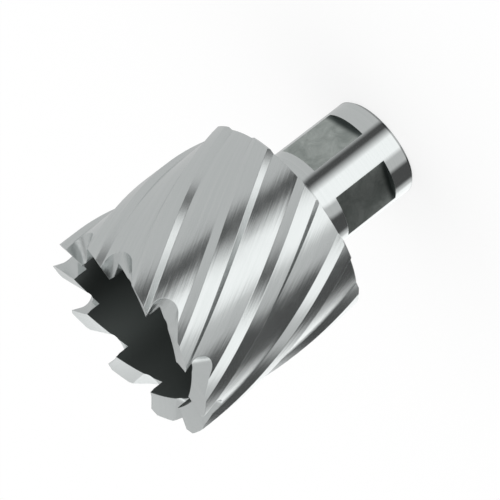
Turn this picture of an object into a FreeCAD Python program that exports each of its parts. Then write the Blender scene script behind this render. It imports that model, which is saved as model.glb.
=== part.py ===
import FreeCAD, Part
import os
import Sketcher
from FreeCAD import Placement, Rotation, Vector
from math import atan2, pi

# Annular cutter: a hollow, ten-tooth core drill on a 19.05 mm shank with two locking flats.
# It stands on the end of its shank, teeth up. The origin is the centre of that end face.

doc = FreeCAD.newDocument("AnnularCutter")

# Driving sizes, in millimetres and degrees

sheet = doc.addObject("Spreadsheet::Sheet", "Dims")
sizes = [
    ("shank_diameter", 19.05),
    ("shank_length", 22.0),
    ("shank_chamfer", 0.6),
    ("seam_angle", 60.0),
    ("flat_depth", 1.05),
    ("flat_start", 4.5),
    ("flat_length", 11.0),
    ("pilot_diameter", 6.5),
    ("pilot_chamfer", 0.5),
    ("neck_fillet", 0.8),
    ("cutter_diameter", 39.0),
    ("body_length", 35.0),
    ("rear_chamfer", 0.4),
    ("core_diameter", 29.2),
    ("core_depth", 30.0),
    ("floor_chamfer", 1.0),
    ("tooth_count", 10),
    ("tooth_phase", 29.5),
    ("flute_lead", 200.0),
    ("flute_depth", 0.95),
    ("land_width", 3.05),
    ("wall_width", 1.15),
    ("trail_width", 1.7),
    ("relief_drop", 2.9),
    ("edge_angle", 11.0),
    ("gullet_depth", 4.9),
    ("gullet_radius", 2.3),
    ("gullet_offset", 1.4),
    ("gullet_slope", 24.5),
    ("rake_angle", 23.0),
    ("back_angle", 40.0),
    ("overrun", 2.0),
    ("skim", 0.3),
]
for row, (alias, value) in enumerate(sizes, start=1):
    sheet.set(f"A{row}", alias)
    sheet.set(f"B{row}", str(value))
    sheet.setAlias(f"B{row}", alias)
doc.recompute()

body = doc.addObject("PartDesign::Body", "Cutter")
body.Label = "annular_cutter"


def origin_plane(role):
    return next(item for item in body.Origin.OriginFeatures if item.Role == role)


def closed_sketch(name, plane, corners, arcs=None):
    """Sketch a closed outline whose corners, and radii of its arcs, are tied to the sheet.

    arcs maps the number of a side to (radius, +1 or -1): the side bulges left or right of its run."""
    arcs = arcs or {}
    sketch = body.newObject("Sketcher::SketchObject", name)
    sketch.AttachmentSupport = [(origin_plane(plane), "")]
    sketch.MapMode = "FlatFace"
    spots = [Vector(sketch.evalExpression(x), sketch.evalExpression(y), 0) for x, y in corners]
    count = len(corners)
    ends = []
    for side in range(count):
        first, last = spots[side], spots[(side + 1) % count]
        if side in arcs:
            radius, turn = arcs[side]
            reach = sketch.evalExpression(radius)
            chord = last - first
            left = Vector(-chord.y, chord.x, 0).normalize() * turn
            centre = (first + last) / 2 - left * (reach ** 2 - (chord.Length / 2) ** 2) ** 0.5
            start, stop = (last, first) if turn > 0 else (first, last)
            low = atan2(start.y - centre.y, start.x - centre.x)
            high = atan2(stop.y - centre.y, stop.x - centre.x)
            circle = Part.Circle(centre, Vector(0, 0, 1), reach)
            sketch.addGeometry(Part.ArcOfCircle(circle, low, high if high > low else high + 2 * pi), False)
            ends.append((2, 1) if turn > 0 else (1, 2))
        else:
            sketch.addGeometry(Part.LineSegment(first, last), False)
            ends.append((1, 2))
    for side in range(count):
        after = (side + 1) % count
        sketch.addConstraint(Sketcher.Constraint("Coincident", side, ends[side][1], after, ends[after][0]))
    for side, (x, y) in enumerate(corners):
        for kind, text, value in (("DistanceX", x, spots[side].x), ("DistanceY", y, spots[side].y)):
            place = sketch.addConstraint(Sketcher.Constraint(kind, -1, 1, side, ends[side][0], value))
            sketch.setExpression(f"Constraints[{place}]", text)
    for side, (radius, turn) in arcs.items():
        place = sketch.addConstraint(Sketcher.Constraint("Radius", side, sketch.evalExpression(radius)))
        sketch.setExpression(f"Constraints[{place}]", radius)
    return sketch


def turn_about_axis(sketch, angle):
    """Turn a sketch about the cutter's axis, to the angle that the sheet gives."""
    sketch.AttachmentOffset = Placement(Vector(0, 0, 0), Rotation(Vector(0, 1, 0), 1))
    sketch.setExpression("AttachmentOffset.Rotation.Angle", angle)


def turned(name, outline):
    """Revolve an outline once round the axis."""
    turning = body.newObject("PartDesign::Revolution", name)
    turning.Profile = outline
    turning.ReferenceAxis = (origin_plane("Z_Axis"), [""])
    turning.Angle = 360
    doc.recompute()


def helical_cut(name, outline, pitch, height):
    """Sweep an outline up round the axis along a left-hand helix and cut it out."""
    cut = body.newObject("PartDesign::SubtractiveHelix", name)
    cut.Profile = outline
    cut.ReferenceAxis = (origin_plane("Z_Axis"), [""])
    cut.Mode = "pitch-height-angle"
    cut.LeftHanded = True
    cut.setExpression("Pitch", pitch)
    cut.setExpression("Height", height)
    body.Tip = cut
    doc.recompute()
    return cut


def around(name, feature, angle, count):
    """Repeat a cut about the axis."""
    ring = body.newObject("PartDesign::PolarPattern", name)
    ring.Originals = [feature]
    ring.Axis = (origin_plane("Z_Axis"), [""])
    ring.Angle = angle
    ring.setExpression("Occurrences", count)
    body.Tip = ring
    doc.recompute()


# Heights and radii that several outlines share, as text for the sheet

SHANK = "Dims.shank_diameter / 2"
OUTER = "Dims.cutter_diameter / 2"
CORE = "Dims.core_diameter / 2"
PILOT = "Dims.pilot_diameter / 2"
ROOT = "(Dims.cutter_diameter / 2 - Dims.flute_depth)"
SHOULDER = "Dims.shank_length"
TIP = "(Dims.shank_length + Dims.body_length)"
FLOOR = "(Dims.shank_length + Dims.body_length - Dims.core_depth)"
PITCH = "(360 / Dims.tooth_count)"

# Turned cup: shoulder, outside, core and its floor

cup_outline = closed_sketch("CupOutline", "XZ_Plane", [
    (PILOT, SHOULDER),
    (f"{OUTER} - Dims.rear_chamfer", SHOULDER),
    (OUTER, f"{SHOULDER} + Dims.rear_chamfer"),
    (OUTER, f"{TIP} + Dims.skim"),
    (CORE, f"{TIP} + Dims.skim"),
    (CORE, f"{FLOOR} + Dims.floor_chamfer"),
    (f"{CORE} - Dims.floor_chamfer", FLOOR),
    (PILOT, FLOOR),
])
turned("Cup", cup_outline)

# Turned shank, with its seam clear of both flats

shank_outline = closed_sketch("ShankOutline", "XZ_Plane", [
    (f"{PILOT} + Dims.pilot_chamfer", "0"),
    (f"{SHANK} - Dims.shank_chamfer", "0"),
    (SHANK, "Dims.shank_chamfer"),
    (SHANK, f"{SHOULDER} - Dims.neck_fillet"),
    (f"{SHANK} + Dims.neck_fillet", SHOULDER),
    (PILOT, SHOULDER),
    (PILOT, "Dims.pilot_chamfer"),
], {3: ("Dims.neck_fillet", 1)})
turn_about_axis(shank_outline, "Dims.seam_angle")
turned("Shank", shank_outline)

# Two locking flats on the shank, a quarter turn apart, each ending in a square shoulder

flat_outline = closed_sketch("FlatOutline", "XZ_Plane", [
    (f"-{SHANK}", "Dims.flat_start"),
    (SHANK, "Dims.flat_start"),
    (SHANK, "Dims.flat_start + Dims.flat_length"),
    (f"-{SHANK}", "Dims.flat_start + Dims.flat_length"),
])
flat_outline.setExpression("AttachmentOffset.Base.z", f"{SHANK} - Dims.flat_depth")
flat = body.newObject("PartDesign::Pocket", "FrontFlat")
flat.Profile = flat_outline
flat.Reversed = True
flat.setExpression("Length", "Dims.flat_depth + Dims.overrun")
doc.recompute()
around("Flats", flat, 90, "2")

# Gullets: a rounded notch milled outwards and downwards in front of each cutting edge.
# The outline stands square to a radius, with 0 across on the rake plane's line at the tip.

FOOT = "(-Dims.gullet_offset + Dims.gullet_radius * cos(Dims.rake_angle))"
HEEL = "(-Dims.gullet_offset - Dims.gullet_radius * sin(Dims.back_angle))"
CENTRE = f"({TIP} - Dims.gullet_depth + Dims.gullet_radius)"
FOOT_RISE = f"({CENTRE} + Dims.gullet_radius * sin(Dims.rake_angle))"
HEEL_RISE = f"({CENTRE} - Dims.gullet_radius * cos(Dims.back_angle))"
ABOVE = f"({TIP} + 3 * Dims.overrun)"
gullet_outline = closed_sketch("GulletOutline", "YZ_Plane", [
    (FOOT, FOOT_RISE),
    (f"{FOOT} - ({ABOVE} - {FOOT_RISE}) * tan(Dims.rake_angle)", ABOVE),
    (f"{HEEL} - ({ABOVE} - {HEEL_RISE}) / tan(Dims.back_angle)", ABOVE),
    (HEEL, HEEL_RISE),
], {3: ("Dims.gullet_radius", -1)})
turn_about_axis(gullet_outline, "Dims.tooth_phase")
gullet_outline.setExpression("AttachmentOffset.Base.x", f"{ROOT} * sin(Dims.tooth_phase)")
gullet_outline.setExpression("AttachmentOffset.Base.z", f"{ROOT} * cos(Dims.tooth_phase)")
FALL = "tan(Dims.gullet_slope)"
SIDE = f"{FALL} * tan(Dims.rake_angle)"
gullet = body.newObject("PartDesign::Pocket", "Gullet")
gullet.Profile = gullet_outline
gullet.UseCustomVector = True
gullet.setExpression("Direction.x", f"cos(Dims.tooth_phase) - {SIDE} * sin(Dims.tooth_phase)")
gullet.setExpression("Direction.y", f"sin(Dims.tooth_phase) + {SIDE} * cos(Dims.tooth_phase)")
gullet.setExpression("Direction.z", f"-{FALL}")
gullet.Midplane = True
gullet.setExpression("Length", f"2 * ({OUTER} - {CORE} + 2 * Dims.overrun)")
doc.recompute()
around("Gullets", gullet, 360, "Dims.tooth_count")

# Tooth backs: from each cutting edge the end face winds down to the next tooth

INSIDE = f"({CORE} - Dims.overrun)"
OUTSIDE = f"({OUTER} + Dims.overrun)"
LOW = f"({TIP} - Dims.relief_drop)"
relief_outline = closed_sketch("ReliefOutline", "XZ_Plane", [
    (INSIDE, f"{LOW} - ({ROOT} - {INSIDE}) * tan(Dims.edge_angle)"),
    (OUTSIDE, f"{LOW} + ({OUTSIDE} - {ROOT}) * tan(Dims.edge_angle)"),
    (OUTSIDE, f"{TIP} + Dims.overrun"),
    (INSIDE, f"{TIP} + Dims.overrun"),
])
turn_about_axis(relief_outline, f"Dims.tooth_phase + {PITCH}")
relief = helical_cut("ToothBack", relief_outline, "Dims.relief_drop * Dims.tooth_count", "Dims.relief_drop")
around("ToothBacks", relief, 360, "Dims.tooth_count")

# Flutes: left-hand helical channels from below the rear face up past the tips, with a steep
# leading wall that meets each cutting edge and a shallower trailing one.
# A width round the outside of the body is turned into the height it has along the flute.

RISE = f"(Dims.flute_lead / (2 * pi * {OUTER}))"
WALL = f"(Dims.wall_width * {RISE})"
TRAIL = f"(Dims.trail_width * {RISE})"
CHANNEL = f"(Dims.flute_lead / Dims.tooth_count - Dims.land_width * {RISE})"
SKIN = f"({OUTER} + Dims.skim)"
LEAN = "(Dims.skim / Dims.flute_depth)"
START = f"({SHOULDER} - Dims.overrun - {LEAN} * {WALL})"
WIND = f"(360 / Dims.flute_lead * ({TIP} - {START} + {WALL}))"
for number in range(int(sheet.tooth_count)):
    flute_outline = closed_sketch(f"FluteOutline{number + 1}", "XZ_Plane", [
        (ROOT, f"{START} - {WALL}"),
        (SKIN, f"{START} + {LEAN} * {WALL}"),
        (SKIN, f"{START} - {CHANNEL} - {LEAN} * {TRAIL}"),
        (ROOT, f"{START} - {CHANNEL} + {TRAIL}"),
    ])
    turn_about_axis(flute_outline, f"Dims.tooth_phase + {number} * {PITCH} + {WIND}")
    helical_cut(f"Flute{number + 1}", flute_outline, "Dims.flute_lead",
                f"{TIP} + Dims.overrun - {START} + {CHANNEL} + {LEAN} * {TRAIL}")

broken = [item.Name for item in doc.Objects if "Invalid" in item.State or "Error" in item.State]
if broken:
    raise RuntimeError(f"not built: {broken}")
if body.Shape.isNull() or not body.Shape.isValid():
    raise RuntimeError("the cutter's shape is not a valid solid")
os.makedirs("parts", exist_ok=True)
body.Shape.exportStep("parts/annular_cutter.step")
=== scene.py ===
from math import cos, pi, radians, sin

import bmesh
import bpy
from mathutils import Matrix, Vector

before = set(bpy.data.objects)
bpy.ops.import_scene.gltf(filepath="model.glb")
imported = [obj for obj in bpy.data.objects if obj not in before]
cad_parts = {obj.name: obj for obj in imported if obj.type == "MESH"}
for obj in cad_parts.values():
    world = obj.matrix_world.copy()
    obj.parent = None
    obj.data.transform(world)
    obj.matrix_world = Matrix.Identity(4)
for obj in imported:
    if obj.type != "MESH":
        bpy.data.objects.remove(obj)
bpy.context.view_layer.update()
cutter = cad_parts["annular_cutter"]

MM = 0.001

# Sizes of the cutter that its finishes follow, in millimetres
SHANK_LENGTH = 22.0
SHANK_RADIUS = 9.525
FLAT_START = 4.5
FLAT_END = 15.5
FLAT_DISTANCE = 8.475
BODY_RADIUS = 19.5
CORE_RADIUS = 14.6
FLUTE_LEAD = 200.0
EDGE_RADIUS = 0.12

# How far each finish reaches past the sizes above, so that its own faces all lie inside it
FINISH_MARGIN = 0.1
FLAT_MARGIN = 0.02

# Real grinding lines lie about 0.02 mm apart. They are drawn ten times coarser and more, because a pixel is 0.17 mm.
BODY_LINE_SPACING = 0.6
BODY_LINE_LENGTH = 18.0
BODY_LINE_DEPTH = 0.02
WALL_LINE_DEPTH = 0.003
WALL_ROUGHNESS = 0.27
TURNED_LINE_SPACING = 0.22
TURNED_LINE_LENGTH = 30.0
TURNED_LINE_DEPTH = 0.005
FLAT_ROUGHNESS = 0.5
CORE_ROUGHNESS = 0.6
POLISH = (0.13, 0.2)
POLISH_MARKS = (0.3, 0.7)
LINE_ANISOTROPY = 0.8
HANDLING_MARK_SIZE = 5.0
MILLING_MARK_SIZE = 3.0
# Heights above each flat's start between which the painted shade in its corner fades out
PAINTED_CORNER_SHADE = (0.3, 1.5)

# How squarely a face looks outward: below the first it is a flute's wall, above the second a land or a floor
WALL_TO_RIM = (0.6, 0.9)

# The photograph's view: where the camera stands round the cutter, and how far it is rolled
EYE_AZIMUTH = 313.83
EYE_ELEVATION = 18.97
EYE_DISTANCE = 465.0
EYE_ROLL = -127.92
AIM = (-0.54, -0.52, 30.11)
FOCAL_LENGTH = 197.16
SENSOR_WIDTH = 36.0
CLIP_START = 10.0

FLOOR_SIZE = 4000.0
TABLE_PAINT = 0.22


def linear(hex_colour):
    """The linear colour of an sRGB hex value."""
    values = [int(hex_colour[i : i + 2], 16) / 255 for i in (1, 3, 5)]
    return [v / 12.92 if v <= 0.04045 else ((v + 0.055) / 1.055) ** 2.4 for v in values] + [1.0]


def add(tree, kind, settings, inputs):
    """Adds a node with its settings, and sets its inputs or links them to sockets or to nodes' first outputs."""
    made = tree.nodes.new(kind)
    for name, value in settings.items():
        setattr(made, name, value)
    for key, value in inputs.items():
        if isinstance(value, bpy.types.Node):
            value = value.outputs[0]
        if isinstance(value, bpy.types.NodeSocket):
            tree.links.new(value, made.inputs[key])
        else:
            made.inputs[key].default_value = value
    return made


def ground_steel():
    """High-speed steel, hardened and then ground bright.

    A fine wheel gives it sharp reflections, which the lines it leaves smear across the flutes. The two milled flats
    and the bored core were left as they were cut, so they look duller, darker and mottled. The bore's darker colour
    is partly that finish and partly painted shade of the hollow, and a painted shade darkens each flat by the step at
    its outer end."""
    material = bpy.data.materials.new("ground_high_speed_steel")
    material.use_nodes = True
    tree = material.node_tree
    shader = tree.nodes["Principled BSDF"]

    place = add(tree, "ShaderNodeTexCoord", {}, {}).outputs["Object"]
    xyz = add(tree, "ShaderNodeSeparateXYZ", {}, {0: place})
    x, y, z = xyz.outputs
    level = add(tree, "ShaderNodeVectorMath", {"operation": "MULTIPLY"}, {0: place, 1: (1, 1, 0)})
    radius = add(tree, "ShaderNodeVectorMath", {"operation": "LENGTH"}, {0: level}).outputs["Value"]
    round_the_axis = add(tree, "ShaderNodeVectorMath", {"operation": "NORMALIZE"}, {0: level})

    # Where each finish lies
    above_shoulder = add(
        tree, "ShaderNodeMath", {"operation": "GREATER_THAN"}, {0: z, 1: (SHANK_LENGTH - FINISH_MARGIN) * MM}
    )
    inside_core = add(
        tree, "ShaderNodeMath", {"operation": "LESS_THAN"}, {0: radius, 1: (CORE_RADIUS + FINISH_MARGIN) * MM}
    )
    in_core = add(tree, "ShaderNodeMath", {"operation": "MULTIPLY"}, {0: above_shoulder, 1: inside_core})
    minus_y = add(tree, "ShaderNodeMath", {"operation": "MULTIPLY"}, {0: y, 1: -1.0})
    round_the_shank = add(tree, "ShaderNodeCombineXYZ", {}, {0: minus_y, 1: x, 2: 0.0})
    out_to_a_flat = add(tree, "ShaderNodeMath", {"operation": "MAXIMUM"}, {0: x, 1: minus_y})
    far_enough = add(
        tree,
        "ShaderNodeMath",
        {"operation": "GREATER_THAN"},
        {0: out_to_a_flat, 1: (FLAT_DISTANCE - FLAT_MARGIN) * MM},
    )
    between_ends = add(
        tree,
        "ShaderNodeMath",
        {"operation": "COMPARE"},
        {0: z, 1: (FLAT_START + FLAT_END) / 2 * MM, 2: ((FLAT_END - FLAT_START) / 2 + FLAT_MARGIN) * MM},
    )
    on_shank = add(tree, "ShaderNodeMath", {"operation": "SUBTRACT"}, {0: 1.0, 1: above_shoulder})
    on_flat = add(tree, "ShaderNodeMath", {"operation": "MULTIPLY"}, {0: far_enough, 1: between_ends})
    on_flat = add(tree, "ShaderNodeMath", {"operation": "MULTIPLY"}, {0: on_flat, 1: on_shank})
    fluted = add(tree, "ShaderNodeMath", {"operation": "SUBTRACT"}, {0: above_shoulder, 1: in_core})

    # The gullets and the walls of the flutes were cut by the side of the wheel, which leaves them even and less sharp
    facing = add(tree, "ShaderNodeNewGeometry", {}, {}).outputs["Normal"]
    outward = add(tree, "ShaderNodeVectorMath", {"operation": "DOT_PRODUCT"}, {0: facing, 1: round_the_axis})
    by_the_rim = add(
        tree,
        "ShaderNodeMapRange",
        {"interpolation_type": "SMOOTHSTEP"},
        {0: outward.outputs["Value"], 1: WALL_TO_RIM[0], 2: WALL_TO_RIM[1], 3: 0.0, 4: 1.0},
    )
    line_depth = add(
        tree,
        "ShaderNodeMix",
        {"data_type": "FLOAT"},
        {0: by_the_rim, 2: WALL_LINE_DEPTH * MM, 3: BODY_LINE_DEPTH * MM},
    )

    # Lines that the wheel left along the flutes
    turning = 2 * pi / (FLUTE_LEAD * MM)
    twist = add(tree, "ShaderNodeMath", {"operation": "MULTIPLY"}, {0: z, 1: turning})
    untwisted = add(
        tree, "ShaderNodeVectorRotate", {"rotation_type": "Z_AXIS"}, {"Vector": round_the_axis, "Angle": twist}
    )
    across = BODY_RADIUS / BODY_LINE_SPACING
    body_across = add(
        tree, "ShaderNodeVectorMath", {"operation": "MULTIPLY"}, {0: untwisted, 1: (across, across, 0)}
    )
    body_along = add(
        tree,
        "ShaderNodeVectorMath",
        {"operation": "MULTIPLY"},
        {0: place, 1: (0, 0, 1 / (BODY_LINE_LENGTH * MM))},
    )
    body_lines = add(tree, "ShaderNodeVectorMath", {"operation": "ADD"}, {0: body_across, 1: body_along})

    # Lines round the shank and the core
    along = SHANK_RADIUS / TURNED_LINE_LENGTH
    turned_along = add(
        tree, "ShaderNodeVectorMath", {"operation": "MULTIPLY"}, {0: round_the_axis, 1: (along, along, 0)}
    )
    turned_across = add(
        tree,
        "ShaderNodeVectorMath",
        {"operation": "MULTIPLY"},
        {0: place, 1: (0, 0, 1 / (TURNED_LINE_SPACING * MM))},
    )
    turned_lines = add(tree, "ShaderNodeVectorMath", {"operation": "ADD"}, {0: turned_along, 1: turned_across})
    lines_at = add(
        tree,
        "ShaderNodeMix",
        {"data_type": "VECTOR"},
        {"Factor": fluted, 4: turned_lines, 5: body_lines},
    ).outputs[1]
    lines = add(
        tree, "ShaderNodeTexNoise", {}, {"Vector": lines_at, "Scale": 1.0, "Detail": 4.0, "Roughness": 0.6}
    )

    # Soft marks of handling
    marks = add(
        tree,
        "ShaderNodeTexNoise",
        {},
        {"Vector": place, "Scale": 1 / (HANDLING_MARK_SIZE * MM), "Detail": 3.0, "Roughness": 0.55},
    )

    # Cutter marks on the flats
    milling = add(
        tree,
        "ShaderNodeTexNoise",
        {},
        {"Vector": place, "Scale": 1 / (MILLING_MARK_SIZE * MM), "Detail": 5.0, "Roughness": 0.7, "Distortion": 0.6},
    )
    milled = add(
        tree,
        "ShaderNodeMix",
        {"data_type": "RGBA"},
        {"Factor": milling, "A": linear("#6E7874"), "B": linear("#E6ECE8")},
    )
    # Painted shade: the step's wall and the corner at each flat's outer end get a dark colour, which fades out along
    # the flat
    painted_corner_shade = add(
        tree,
        "ShaderNodeMapRange",
        {"interpolation_type": "SMOOTHSTEP"},
        {
            0: z,
            1: (FLAT_START + PAINTED_CORNER_SHADE[0]) * MM,
            2: (FLAT_START + PAINTED_CORNER_SHADE[1]) * MM,
            3: 1.0,
            4: 0.0,
        },
    )
    milled_colour_and_shade = add(
        tree,
        "ShaderNodeMix",
        {"data_type": "RGBA"},
        {"Factor": painted_corner_shade, "A": milled.outputs["Result"], "B": linear("#5E6664")},
    ).outputs["Result"]

    bright = add(
        tree,
        "ShaderNodeMix",
        {"data_type": "RGBA"},
        {"Factor": lines, "A": linear("#D0D5D4"), "B": linear("#DBDEDE")},
    )
    with_flats = add(
        tree,
        "ShaderNodeMix",
        {"data_type": "RGBA"},
        {"Factor": on_flat, "A": bright.outputs["Result"], "B": milled_colour_and_shade},
    )
    # The bored core gets a darker steel colour: partly its as-cut finish, partly painted shade of the hollow
    colour = add(
        tree,
        "ShaderNodeMix",
        {"data_type": "RGBA"},
        {"Factor": in_core, "A": with_flats.outputs["Result"], "B": linear("#6A706E")},
    )
    polish = add(
        tree,
        "ShaderNodeMapRange",
        {},
        {0: marks, 1: POLISH_MARKS[0], 2: POLISH_MARKS[1], 3: POLISH[0], 4: POLISH[1]},
    )
    roughness = add(tree, "ShaderNodeMix", {"data_type": "FLOAT"}, {0: by_the_rim, 2: WALL_ROUGHNESS, 3: polish})
    roughness = add(tree, "ShaderNodeMix", {"data_type": "FLOAT"}, {0: on_flat, 2: roughness, 3: FLAT_ROUGHNESS})
    roughness = add(tree, "ShaderNodeMix", {"data_type": "FLOAT"}, {0: in_core, 2: roughness, 3: CORE_ROUGHNESS})

    # Reflections spread square to the lines, which run up the flutes and round the shank and the core
    up_the_flutes = add(tree, "ShaderNodeCombineXYZ", {}, {0: minus_y, 1: x, 2: -1 / turning})
    run = add(
        tree,
        "ShaderNodeMix",
        {"data_type": "VECTOR"},
        {"Factor": fluted, 4: round_the_shank, 5: up_the_flutes},
    ).outputs[1]
    spread = add(tree, "ShaderNodeVectorMath", {"operation": "CROSS_PRODUCT"}, {0: facing, 1: run})

    softened = add(tree, "ShaderNodeBevel", {"samples": 6}, {"Radius": EDGE_RADIUS * MM})
    depth = add(
        tree,
        "ShaderNodeMix",
        {"data_type": "FLOAT"},
        {0: fluted, 2: TURNED_LINE_DEPTH * MM, 3: line_depth},
    )
    height = add(tree, "ShaderNodeMath", {"operation": "MULTIPLY"}, {0: lines, 1: depth})
    relief = add(tree, "ShaderNodeBump", {}, {"Strength": 1.0, "Distance": 1.0, "Height": height, "Normal": softened})

    tree.links.new(colour.outputs["Result"], shader.inputs["Base Color"])
    tree.links.new(roughness.outputs[0], shader.inputs["Roughness"])
    tree.links.new(relief.outputs[0], shader.inputs["Normal"])
    tree.links.new(spread.outputs[0], shader.inputs["Tangent"])
    shader.inputs["Metallic"].default_value = 1.0
    shader.inputs["Anisotropic"].default_value = LINE_ANISOTROPY
    return material


# The light tent that the cutter stands in: pale cloth, with four strips of card where the photograph's broadest
# highlights and dark streaks put them, to the nearest 5 degrees. A strip runs out from the cutter over the table and
# up the wall. It is given by its middle and its width, in degrees to the right of the camera, and by its shade, and
# its edges are soft.
CLOTH = "#B4B4B4"
WHITE_CARD = "#F5F5F5"
BLACK_CARD = "#484848"
STRIPS = [(-150, 30, WHITE_CARD), (-90, 40, BLACK_CARD), (-15, 30, WHITE_CARD), (25, 10, BLACK_CARD)]
SOFT_EDGE = 10
TENT_STRENGTH = 1.4

# The walls turn into the roof, which is plain cloth, between two heights in degrees. The other sizes are in
# millimetres from the cutter's axis and above the table.
ROOF_TURN = (34, 54)
TENT_RADIUS = 2000.0
CONTACT_START = 8.98
COLLAR_START = 10.4
COLLAR_END = 20.0
COLLAR_HEIGHT = 14.0
COLLAR_THICKNESS = 0.5
CONTACT_HEIGHT = 0.02
CARD_HEIGHT = 0.3
CONTACT_SHADE = 0.45
TENT_SEGMENTS = 96
TENT_STEP = 5


def strips_of_card(tree, place):
    """A colour ramp once round the cutter, which starts and ends behind it."""
    made = add(tree, "ShaderNodeValToRGB", {}, {"Fac": place})
    elements = made.color_ramp.elements
    elements[0].color = elements[1].color = linear(CLOTH)
    for middle, width, shade in STRIPS:
        half = width / 2
        for aside, colour in ((-half - SOFT_EDGE, CLOTH), (-half, shade), (half, shade), (half + SOFT_EDGE, CLOTH)):
            elements.new(0.5 + (middle + aside) / 360).color = linear(colour)
    return made.outputs["Color"]


def tent_material():
    material = bpy.data.materials.new("lit_tent_cloth")
    material.use_nodes = True
    tree = material.node_tree
    tree.nodes.clear()
    place = add(tree, "ShaderNodeTexCoord", {}, {}).outputs["Object"]
    z = add(tree, "ShaderNodeSeparateXYZ", {}, {0: place}).outputs["Z"]
    level = add(tree, "ShaderNodeVectorMath", {"operation": "MULTIPLY"}, {0: place, 1: (1, 1, 0)})
    distance = add(tree, "ShaderNodeVectorMath", {"operation": "LENGTH"}, {0: level}).outputs["Value"]
    elevation = add(tree, "ShaderNodeMath", {"operation": "ARCTAN2"}, {0: z, 1: distance})

    # A card close to the foot is seen from the surface of the cutter, not from its axis. The azimuth at which it
    # belongs is found by carrying it back to that surface, for the photograph's side of the cutter.
    turned = add(
        tree,
        "ShaderNodeVectorRotate",
        {"rotation_type": "Z_AXIS"},
        {"Vector": place, "Angle": radians(-EYE_AZIMUTH)},
    )
    x, y, _ = add(tree, "ShaderNodeSeparateXYZ", {}, {0: turned}).outputs
    seen_at = add(tree, "ShaderNodeMath", {"operation": "ARCTAN2"}, {0: y, 1: x})
    past_the_collar = add(
        tree, "ShaderNodeMath", {"operation": "GREATER_THAN"}, {0: distance, 1: COLLAR_END * MM}
    )
    seen_from = add(
        tree,
        "ShaderNodeMix",
        {"data_type": "FLOAT"},
        {0: past_the_collar, 2: SHANK_RADIUS * MM, 3: BODY_RADIUS * MM},
    )
    nearness = add(tree, "ShaderNodeMath", {"operation": "DIVIDE"}, {0: seen_from, 1: distance})
    parts = add(tree, "ShaderNodeMath", {"operation": "SUBTRACT"}, {0: 2.0, 1: nearness})
    facing = add(tree, "ShaderNodeMath", {"operation": "DIVIDE"}, {0: seen_at, 1: parts})
    aside = add(tree, "ShaderNodeMath", {"operation": "SINE"}, {0: facing})
    aside = add(tree, "ShaderNodeMath", {"operation": "MULTIPLY"}, {0: aside, 1: nearness})
    aside = add(tree, "ShaderNodeMath", {"operation": "ARCSINE"}, {0: aside})
    azimuth = add(tree, "ShaderNodeMath", {"operation": "ADD"}, {0: seen_at, 1: aside})
    round_turn = add(tree, "ShaderNodeMapRange", {}, {0: azimuth, 1: -pi, 2: pi, 3: 0.0, 4: 1.0})
    share = add(
        tree,
        "ShaderNodeMapRange",
        {"interpolation_type": "SMOOTHSTEP"},
        {0: elevation, 1: radians(ROOF_TURN[0]), 2: radians(ROOF_TURN[1]), 3: 0.0, 4: 1.0},
    )
    cloth = add(
        tree,
        "ShaderNodeMix",
        {"data_type": "RGBA"},
        {"Factor": share, "A": strips_of_card(tree, round_turn), "B": linear(CLOTH)},
    ).outputs["Result"]
    # The cutter shades the table where it stands
    strength = add(
        tree,
        "ShaderNodeMapRange",
        {"interpolation_type": "SMOOTHSTEP"},
        {
            0: distance,
            1: CONTACT_START * MM,
            2: COLLAR_START * MM,
            3: CONTACT_SHADE * TENT_STRENGTH,
            4: TENT_STRENGTH,
        },
    )
    glow = add(tree, "ShaderNodeEmission", {}, {"Color": cloth, "Strength": strength})
    add(tree, "ShaderNodeOutputMaterial", {}, {"Surface": glow})
    material.cycles.emission_sampling = "NONE"
    return material


def staged(name, shape, material):
    """A bmesh made into an object of the studio, which isn't part of the cutter."""
    mesh = bpy.data.meshes.new(name)
    shape.to_mesh(mesh)
    shape.free()
    mesh.materials.append(material)
    made = bpy.data.objects.new(name, mesh)
    bpy.context.scene.collection.objects.link(made)
    return made


def light_tent():
    """The cards, walls and roof in one turned shape, which only shines in reflections."""
    outline = [
        (CONTACT_START, CONTACT_HEIGHT),
        (COLLAR_START, CARD_HEIGHT),
        (COLLAR_END, COLLAR_HEIGHT),
        (COLLAR_END + COLLAR_THICKNESS, CARD_HEIGHT),
        (TENT_RADIUS, CARD_HEIGHT),
    ]
    for up in range(TENT_STEP, 90, TENT_STEP):
        outline.append((TENT_RADIUS * cos(radians(up)), TENT_RADIUS * sin(radians(up))))
    shape = bmesh.new()
    rings = []
    for radius, height in outline:
        rings.append(
            [
                shape.verts.new(Vector((radius * cos(angle), radius * sin(angle), height)) * MM)
                for angle in (2 * pi * step / TENT_SEGMENTS for step in range(TENT_SEGMENTS))
            ]
        )
    for lower, upper in zip(rings, rings[1:]):
        for step in range(TENT_SEGMENTS):
            shape.faces.new((lower[step - 1], lower[step], upper[step], upper[step - 1]))
    shape.faces.new(rings[-1])
    tent = staged("light_tent", shape, tent_material())
    tent.visible_camera = False
    tent.visible_diffuse = False
    tent.visible_transmission = False
    tent.visible_shadow = False


def white_surroundings():
    world = bpy.data.worlds.new("white_surroundings")
    world.use_nodes = True
    bpy.context.scene.world = world
    white = world.node_tree.nodes["Background"]
    white.inputs["Color"].default_value = (1, 1, 1, 1)
    white.inputs["Strength"].default_value = 1.0
    # Lamp sampling would light the steel straight through the tent, which hides the world from it
    world.cycles.sampling_method = "NONE"


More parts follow.
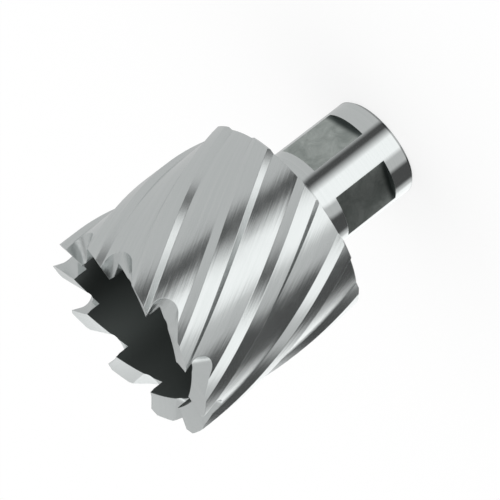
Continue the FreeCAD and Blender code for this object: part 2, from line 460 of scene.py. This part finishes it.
def pale_floor():
    material = bpy.data.materials.new("white_table")
    material.use_nodes = True
    tree = material.node_tree
    tree.nodes.clear()
    rays = add(tree, "ShaderNodeLightPath", {}, {}).outputs
    looking = add(tree, "ShaderNodeMath", {}, {0: rays["Is Camera Ray"], 1: rays["Is Glossy Ray"]})
    looking = add(tree, "ShaderNodeMath", {"use_clamp": True}, {0: looking, 1: rays["Is Transmission Ray"]})
    strength = add(tree, "ShaderNodeMath", {"operation": "MULTIPLY"}, {0: looking, 1: 1 - TABLE_PAINT})
    glow = add(tree, "ShaderNodeEmission", {}, {"Color": (1, 1, 1, 1), "Strength": strength})
    paint = add(tree, "ShaderNodeBsdfDiffuse", {}, {"Color": (TABLE_PAINT, TABLE_PAINT, TABLE_PAINT, 1)})
    table = add(tree, "ShaderNodeAddShader", {}, {0: paint, 1: glow})
    add(tree, "ShaderNodeOutputMaterial", {}, {"Surface": table})
    material.cycles.emission_sampling = "NONE"

    shape = bmesh.new()
    bmesh.ops.create_grid(shape, x_segments=1, y_segments=1, size=FLOOR_SIZE / 2 * MM)
    staged("floor", shape, material)


def photo_camera():
    azimuth, elevation, roll = radians(EYE_AZIMUTH), radians(EYE_ELEVATION), radians(EYE_ROLL)
    back = Vector((cos(elevation) * cos(azimuth), cos(elevation) * sin(azimuth), sin(elevation)))
    level = Vector((0, 0, 1)).cross(back).normalized()
    right = cos(roll) * level + sin(roll) * back.cross(level)
    up = back.cross(right)
    data = bpy.data.cameras.new("photo_camera")
    data.lens = FOCAL_LENGTH
    data.sensor_width = SENSOR_WIDTH
    data.clip_start = CLIP_START * MM
    eye = bpy.data.objects.new("photo_camera", data)
    turn = Matrix((right, up, back)).transposed().to_4x4()
    eye.matrix_world = Matrix.Translation((Vector(AIM) + EYE_DISTANCE * back) * MM) @ turn
    bpy.context.scene.collection.objects.link(eye)
    bpy.context.scene.camera = eye


cutter.data.materials.clear()
cutter.data.materials.append(ground_steel())
light_tent()
white_surroundings()
pale_floor()
photo_camera()
bpy.context.scene.view_settings.view_transform = "Standard"
